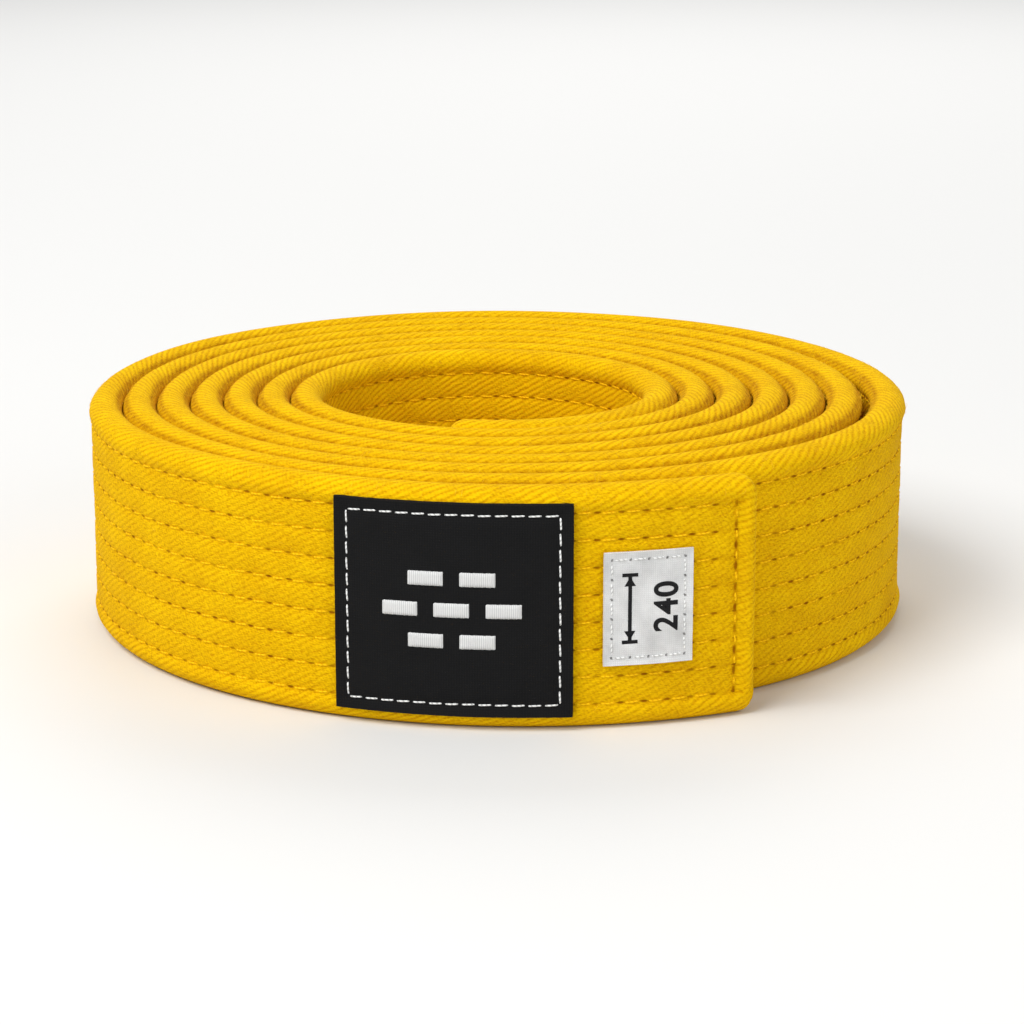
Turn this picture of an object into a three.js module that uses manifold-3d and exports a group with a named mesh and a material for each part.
// A martial arts belt, rolled up and standing on its long edge.
//
// The belt is a folded cotton twill cover round three plies of cotton core, held together by
// eight rows of lockstitch along its length and one row across each end. A woven patch and a
// size label are sewn to the outer free end.
//
// Frame: millimetres, +Z up along the roll's axis, the free end with its patch faces -Y. The
// origin is on the floor under the middle of the roll. Both free ends are pieces of their own,
// because each is lifted off the roll about a vertical line where it leaves the turn beside it.

import * as THREE from "three";
import { mergeVertices } from "three/addons/utils/BufferGeometryUtils.js";
import Module from "manifold-3d";

const wasm = await Module();
wasm.setup();

// ---- the strip ----
const BELT_LENGTH = 2400;
const BELT_WIDTH = 42;
const BELT_THICKNESS = 5.4;
const COVER_WALL = 0.8;
const CLOSING_SLIT = 0.3; // gap between the cover's two long edges, on the inner face
const CLOSING_SLIT_HEIGHT = 4; // from the lower edge up to that gap
const PLY_COUNT = 3;
const PLY_CLEARANCE = 0.2; // between plies, and between a ply and the cover

// ---- the roll ----
const START_RADIUS = 30; // of the strip's mid line at the inner tip
const START_AZIMUTH = THREE.MathUtils.degToRad(-104); // of the inner tip, from +X
const TURN_CLEARANCE = 1.2; // mean gap from one turn to the next
const CENTRE_DRIFT = 0.345; // each turn's centre lies this much further towards +X
const SLACK_RISE = 1.1; // extra gap under the outermost turn, on the +X side
const SLACK_SPREAD = 0.22; // half width of the slack, in turns
const TIP_RISE = 3; // how far the outer tip stands off the turn under it, beyond the usual gap
const TIP_RISE_SPAN = 0.2; // how long the free end takes to rise, in turns
const SEGMENTS_PER_TURN = 16;

// ---- the two free ends ----
const OUTER_END_LENGTH = 92; // from the outer tip to its lifting line
const INNER_END_LENGTH = 35; // from the inner tip to its lifting line
const SPLIT_GAP = 0.3; // between a free end and the coil at the lifting line

// ---- stitching ----
const SEAM_COUNT = 8;
const SEAM_EDGE_MARGIN = 4.4; // from the belt's long edge to the nearest row
const END_SEAM_MARGIN = 4; // from a tip to the row across the belt
const THREAD_WIDTH = 0.8;
const THREAD_HEIGHT = 0.35;
const THREAD_CLEARANCE = 0.15; // between a thread and the cloth it lies on

// ---- patch and label, measured back from the outer tip along the belt ----
const PATCH_TIP_DISTANCE = 32;
const PATCH_LENGTH = 38.8;
const PATCH_HEIGHT = 36.8;
const PATCH_THICKNESS = 0.7;
const PATCH_STITCH_INSET = 2;
const BAR_LENGTH = 6;
const BAR_HEIGHT = 2.6;
const BAR_THICKNESS = 0.3;
const BAR_COLUMN_PITCH = 8.4;
const BAR_ROW_PITCH = 5.4;
const BAR_ROWS = [2, 3, 2]; // bars in each row, from the lowest row up
const LABEL_TIP_DISTANCE = 12.2;
const LABEL_LENGTH = 14.8;
const LABEL_HEIGHT = 19.6;
const LABEL_THICKNESS = 0.4;
const LABEL_STITCH_INSET = 1.3;

// ---- worked out from the above ----
const FULL_TURN = 2 * Math.PI;
const STATION_STEP = FULL_TURN / SEGMENTS_PER_TURN;
const FINE_STEP = FULL_TURN / 3600;
const OVERCUT = 1; // how far a cutting solid reaches past what it cuts
const OUTER_FACE = BELT_THICKNESS / 2; // offsets are measured outwards from the mid line
const INNER_FACE = -BELT_THICKNESS / 2;
const THREAD_BASE = OUTER_FACE + THREAD_CLEARANCE;
const THREAD_TOP = THREAD_BASE + THREAD_HEIGHT;
const SEWN_ON_BASE = THREAD_TOP + THREAD_CLEARANCE; // the back of the patch and the label
const MID_HEIGHT = BELT_WIDTH / 2;
const OUTER_SPLIT = BELT_LENGTH - OUTER_END_LENGTH;

// ---------------------------------------------------------------- the spiral

/** Turns completed between the inner tip and an azimuth. */
function turnsAt(azimuth) {
  return (azimuth - START_AZIMUTH) / FULL_TURN;
}

/** Radius of the mid line of a roll without slack, about the centre of its own turn. */
function tightRadiusAt(azimuth) {
  return START_RADIUS + (BELT_THICKNESS + TURN_CLEARANCE) * turnsAt(azimuth);
}

/** Azimuth that a length of belt reaches from the inner tip, under a given law of radius. */
function azimuthAt(length, radiusLaw) {
  let azimuth = START_AZIMUTH;
  let left = length;
  let step = radiusLaw(azimuth) * FINE_STEP;
  while (left > step) {
    left -= step;
    azimuth += FINE_STEP;
    step = radiusLaw(azimuth) * FINE_STEP;
  }
  return azimuth + (left / step) * FINE_STEP;
}

/** Where the outer tip would lie on a roll without slack. */
const tightTipAzimuth = azimuthAt(BELT_LENGTH, tightRadiusAt);

/** Azimuth at which the outermost turn passes +X, where its slack is greatest. */
const slackAzimuth = FULL_TURN * Math.floor(tightTipAzimuth / FULL_TURN);

/** Radius of the strip's mid line about the centre of its own turn. */
function radiusAt(azimuth) {
  const turnsFromSlack = (azimuth - slackAzimuth) / FULL_TURN;
  const slack = SLACK_RISE * Math.exp(-((turnsFromSlack / SLACK_SPREAD) ** 2));
  const risen = 1 + (azimuth - tightTipAzimuth) / FULL_TURN / TIP_RISE_SPAN;
  return tightRadiusAt(azimuth) + slack + TIP_RISE * Math.max(0, risen) ** 2;
}

/** Plan position of one station of the strip, an offset outwards from its mid line. */
function stationPoint(station, offset) {
  const azimuth = station * STATION_STEP;
  const radius = radiusAt(azimuth) + offset;
  const centre = CENTRE_DRIFT * turnsAt(azimuth);
  return new THREE.Vector2(centre + radius * Math.cos(azimuth), radius * Math.sin(azimuth));
}

/** Station number, not always whole, that lies a length of belt from the inner tip. */
function stationAt(length) {
  return azimuthAt(length, radiusAt) / STATION_STEP;
}

/** Plan position at any station number: on the straight facet between two whole stations. */
function pointAt(station, offset) {
  const before = Math.floor(station);
  return stationPoint(before, offset).lerp(stationPoint(before + 1, offset), station - before);
}

/** Station numbers from one length of belt to another: both ends and the whole ones between. */
function stationsBetween(startLength, endLength) {
  const first = stationAt(startLength);
  const last = stationAt(endLength);
  const stations = [first];
  for (let whole = Math.ceil(first); whole < last; whole += 1) {
    if (whole > first) {
      stations.push(whole);
    }
  }
  stations.push(last);
  return stations;
}

// ---------------------------------------------------------------- solids

/**
 * A solid that follows the strip: from one length of belt to another, between two offsets from
 * its mid line and between two heights.
 */
function bentBlock(lengths, offsets, heights) {
  const stations = stationsBetween(lengths[0], lengths[1]);
  const outside = stations.map((station) => pointAt(station, offsets[1]));
  const inside = stations.map((station) => pointAt(station, offsets[0])).reverse();
  const outline = new THREE.Shape([...outside, ...inside]);
  const geometry = new THREE.ExtrudeGeometry(outline, {
    depth: heights[1] - heights[0],
    bevelEnabled: false,
  });
  return geometry.translate(0, 0, heights[0]);
}

/** The same solid, ready to be joined or cut. */
function toManifold(geometry) {
  const bare = geometry.clone();
  bare.deleteAttribute("normal");
  bare.deleteAttribute("uv");
  const merged = mergeVertices(bare, 1e-4);
  const mesh = new wasm.Mesh({
    numProp: 3,
    vertProperties: new Float32Array(merged.attributes.position.array),
    triVerts: new Uint32Array(merged.index.array),
  });
  return new wasm.Manifold(mesh);
}

/** A joined or cut solid as a geometry again. */
function toGeometry(solid) {
  const mesh = solid.getMesh();
  const geometry = new THREE.BufferGeometry();
  geometry.setAttribute("position", new THREE.BufferAttribute(mesh.vertProperties, 3));
  geometry.setIndex(new THREE.BufferAttribute(mesh.triVerts, 1));
  geometry.computeVertexNormals();
  return geometry;
}

/** One geometry with others cut out of it. */
function cutFrom(geometry, ...cutters) {
  let solid = toManifold(geometry);
  for (const cutter of cutters) {
    solid = solid.subtract(toManifold(cutter));
  }
  return toGeometry(solid);
}

// ---------------------------------------------------------------- the belt's layers

/** The folded cover between two lengths of belt, with a wall across each tip that it reaches. */
function coverGeometry(start, end) {
  const hollowStart = start === 0 ? COVER_WALL : start - OVERCUT;
  const hollowEnd = end === BELT_LENGTH ? BELT_LENGTH - COVER_WALL : end + OVERCUT;
  const slitHeights = [CLOSING_SLIT_HEIGHT, CLOSING_SLIT_HEIGHT + CLOSING_SLIT];
  return cutFrom(
    bentBlock([start, end], [INNER_FACE, OUTER_FACE], [0, BELT_WIDTH]),
    bentBlock(
      [hollowStart, hollowEnd],
      [INNER_FACE + COVER_WALL, OUTER_FACE - COVER_WALL],
      [COVER_WALL, BELT_WIDTH - COVER_WALL],
    ),
    bentBlock([hollowStart, hollowEnd], [INNER_FACE - OVERCUT, 0], slitHeights),
  );
}

/** One core ply between two lengths of belt, counted from 1 at the inner face. */
function plyGeometry(ply, start, end) {
  const room = BELT_THICKNESS - 2 * COVER_WALL - (PLY_COUNT + 1) * PLY_CLEARANCE;
  const thickness = room / PLY_COUNT;
  const base = INNER_FACE + COVER_WALL + PLY_CLEARANCE + (ply - 1) * (thickness + PLY_CLEARANCE);
  const tipRoom = COVER_WALL + PLY_CLEARANCE;
  const edge = COVER_WALL + PLY_CLEARANCE;
  return bentBlock(
    [Math.max(start, tipRoom), Math.min(end, BELT_LENGTH - tipRoom)],
    [base, base + thickness],
    [edge, BELT_WIDTH - edge],
  );
}

/** One row of stitching along the belt, counted from 1 at the lower edge. */
function seamGeometry(row, start, end) {
  const spacing = (BELT_WIDTH - 2 * SEAM_EDGE_MARGIN) / (SEAM_COUNT - 1);
  const height = SEAM_EDGE_MARGIN + (row - 1) * spacing;
  const tipRoom = END_SEAM_MARGIN + THREAD_WIDTH / 2 + SPLIT_GAP;
  return bentBlock(
    [Math.max(start, tipRoom), Math.min(end, BELT_LENGTH - tipRoom)],
    [THREAD_BASE, THREAD_TOP],
    [height - THREAD_WIDTH / 2, height + THREAD_WIDTH / 2],
  );
}

/** The row of stitching across the belt, centred a length of belt from the inner tip. */
function endSeamGeometry(centre) {
  return bentBlock(
    [centre - THREAD_WIDTH / 2, centre + THREAD_WIDTH / 2],
    [THREAD_BASE, THREAD_TOP],
    [SEAM_EDGE_MARGIN, BELT_WIDTH - SEAM_EDGE_MARGIN],
  );
}

// ---------------------------------------------------------------- what is sewn on

/** A flat piece sewn to the outer face, given its distance back from the tip and its size. */
function sewnPiece(tipDistance, length, height, thickness) {
  const end = BELT_LENGTH - tipDistance;
  return {
    lengths: [end - length, end],
    heights: [MID_HEIGHT - height / 2, MID_HEIGHT + height / 2],
    offsets: [SEWN_ON_BASE, SEWN_ON_BASE + thickness],
  };
}

/** The sewn-on piece itself. */
function sewnPieceGeometry(piece) {
  return bentBlock(piece.lengths, piece.offsets, piece.heights);
}

/** The thread that runs round a sewn-on piece, a set distance inside its edge. */
function borderThreadGeometry(piece, inset) {
  const base = piece.offsets[1] + THREAD_CLEARANCE;
  const outer = inset - THREAD_WIDTH / 2;
  const inner = inset + THREAD_WIDTH / 2;
  const shrink = ([low, high], amount) => [low + amount, high - amount];
  const ring = bentBlock(
    shrink(piece.lengths, outer),
    [base, base + THREAD_HEIGHT],
    shrink(piece.heights, outer),
  );
  const middle = bentBlock(
    shrink(piece.lengths, inner),
    [base - OVERCUT, base + THREAD_HEIGHT + OVERCUT],
    shrink(piece.heights, inner),
  );
  return cutFrom(ring, middle);
}

/** One embroidered bar on the patch: the row counts from 0 below, the column from the left. */
function barGeometry(patch, row, column) {
  const patchMiddle = (patch.lengths[0] + patch.lengths[1]) / 2;
  const middle = patchMiddle + (column - (BAR_ROWS[row] - 1) / 2) * BAR_COLUMN_PITCH;
  const height = MID_HEIGHT + (row - (BAR_ROWS.length - 1) / 2) * BAR_ROW_PITCH;
  const base = patch.offsets[1] + THREAD_CLEARANCE;
  return bentBlock(
    [middle - BAR_LENGTH / 2, middle + BAR_LENGTH / 2],
    [base, base + BAR_THICKNESS],
    [height - BAR_HEIGHT / 2, height + BAR_HEIGHT / 2],
  );
}

// ---------------------------------------------------------------- materials

function clothMaterial(color, roughness) {
  return new THREE.MeshStandardMaterial({ color, roughness, metalness: 0 });
}

const yellowTwill = clothMaterial(0xf3bb10, 0.9);
const naturalCotton = clothMaterial(0xe9dfc4, 0.95);
const yellowThread = clothMaterial(0xe2a80c, 0.6);
const blackWeave = clothMaterial(0x1c1c1c, 0.85);
const whiteThread = clothMaterial(0xe4e4e2, 0.6);
const whiteTape = clothMaterial(0xdededb, 0.8);

// ---------------------------------------------------------------- assembly

const belt = new THREE.Group();
belt.name = "martial_arts_belt";

function addPiece(name, geometry, material) {
  const mesh = new THREE.Mesh(geometry, material);
  mesh.name = name;
  belt.add(mesh);
}

/** Cover, plies and stitch rows of one stretch of the belt. */
function addStretch(stretch, start, end) {
  addPiece(`cover_${stretch}`, coverGeometry(start, end), yellowTwill);
  for (let ply = 1; ply <= PLY_COUNT; ply += 1) {
    addPiece(`core_ply_${ply}_${stretch}`, plyGeometry(ply, start, end), naturalCotton);
  }
  for (let row = 1; row <= SEAM_COUNT; row += 1) {
    addPiece(`stitch_row_${row}_${stretch}`, seamGeometry(row, start, end), yellowThread);
  }
}

function addPatch() {
  const patch = sewnPiece(PATCH_TIP_DISTANCE, PATCH_LENGTH, PATCH_HEIGHT, PATCH_THICKNESS);
  addPiece("patch", sewnPieceGeometry(patch), blackWeave);
  addPiece("patch_border_stitch", borderThreadGeometry(patch, PATCH_STITCH_INSET), whiteThread);
  let number = 0;
  BAR_ROWS.forEach((columns, row) => {
    for (let column = 0; column < columns; column += 1) {
      number += 1;
      addPiece(`patch_bar_${number}`, barGeometry(patch, row, column), whiteThread);
    }
  });
}

function addSizeLabel() {
  const label = sewnPiece(LABEL_TIP_DISTANCE, LABEL_LENGTH, LABEL_HEIGHT, LABEL_THICKNESS);
  addPiece("size_label", sewnPieceGeometry(label), whiteTape);
  addPiece("label_border_stitch", borderThreadGeometry(label, LABEL_STITCH_INSET), whiteThread);
}

/** Moves every piece so that the belt's box is centred over the origin. */
function centreOnFloor() {
  const box = new THREE.Box3().setFromObject(belt);
  const centre = box.getCenter(new THREE.Vector3());
  for (const mesh of belt.children) {
    mesh.geometry.translate(-centre.x, -centre.y, 0);
  }
}

addStretch("inner_end", 0, INNER_END_LENGTH - SPLIT_GAP / 2);
addStretch("coil", INNER_END_LENGTH + SPLIT_GAP / 2, OUTER_SPLIT - SPLIT_GAP / 2);
addStretch("outer_end", OUTER_SPLIT + SPLIT_GAP / 2, BELT_LENGTH);
addPiece("cross_stitch_inner_end", endSeamGeometry(END_SEAM_MARGIN), yellowThread);
addPiece("cross_stitch_outer_end", endSeamGeometry(BELT_LENGTH - END_SEAM_MARGIN), yellowThread);
addPatch();
addSizeLabel();
centreOnFloor();

export default belt;
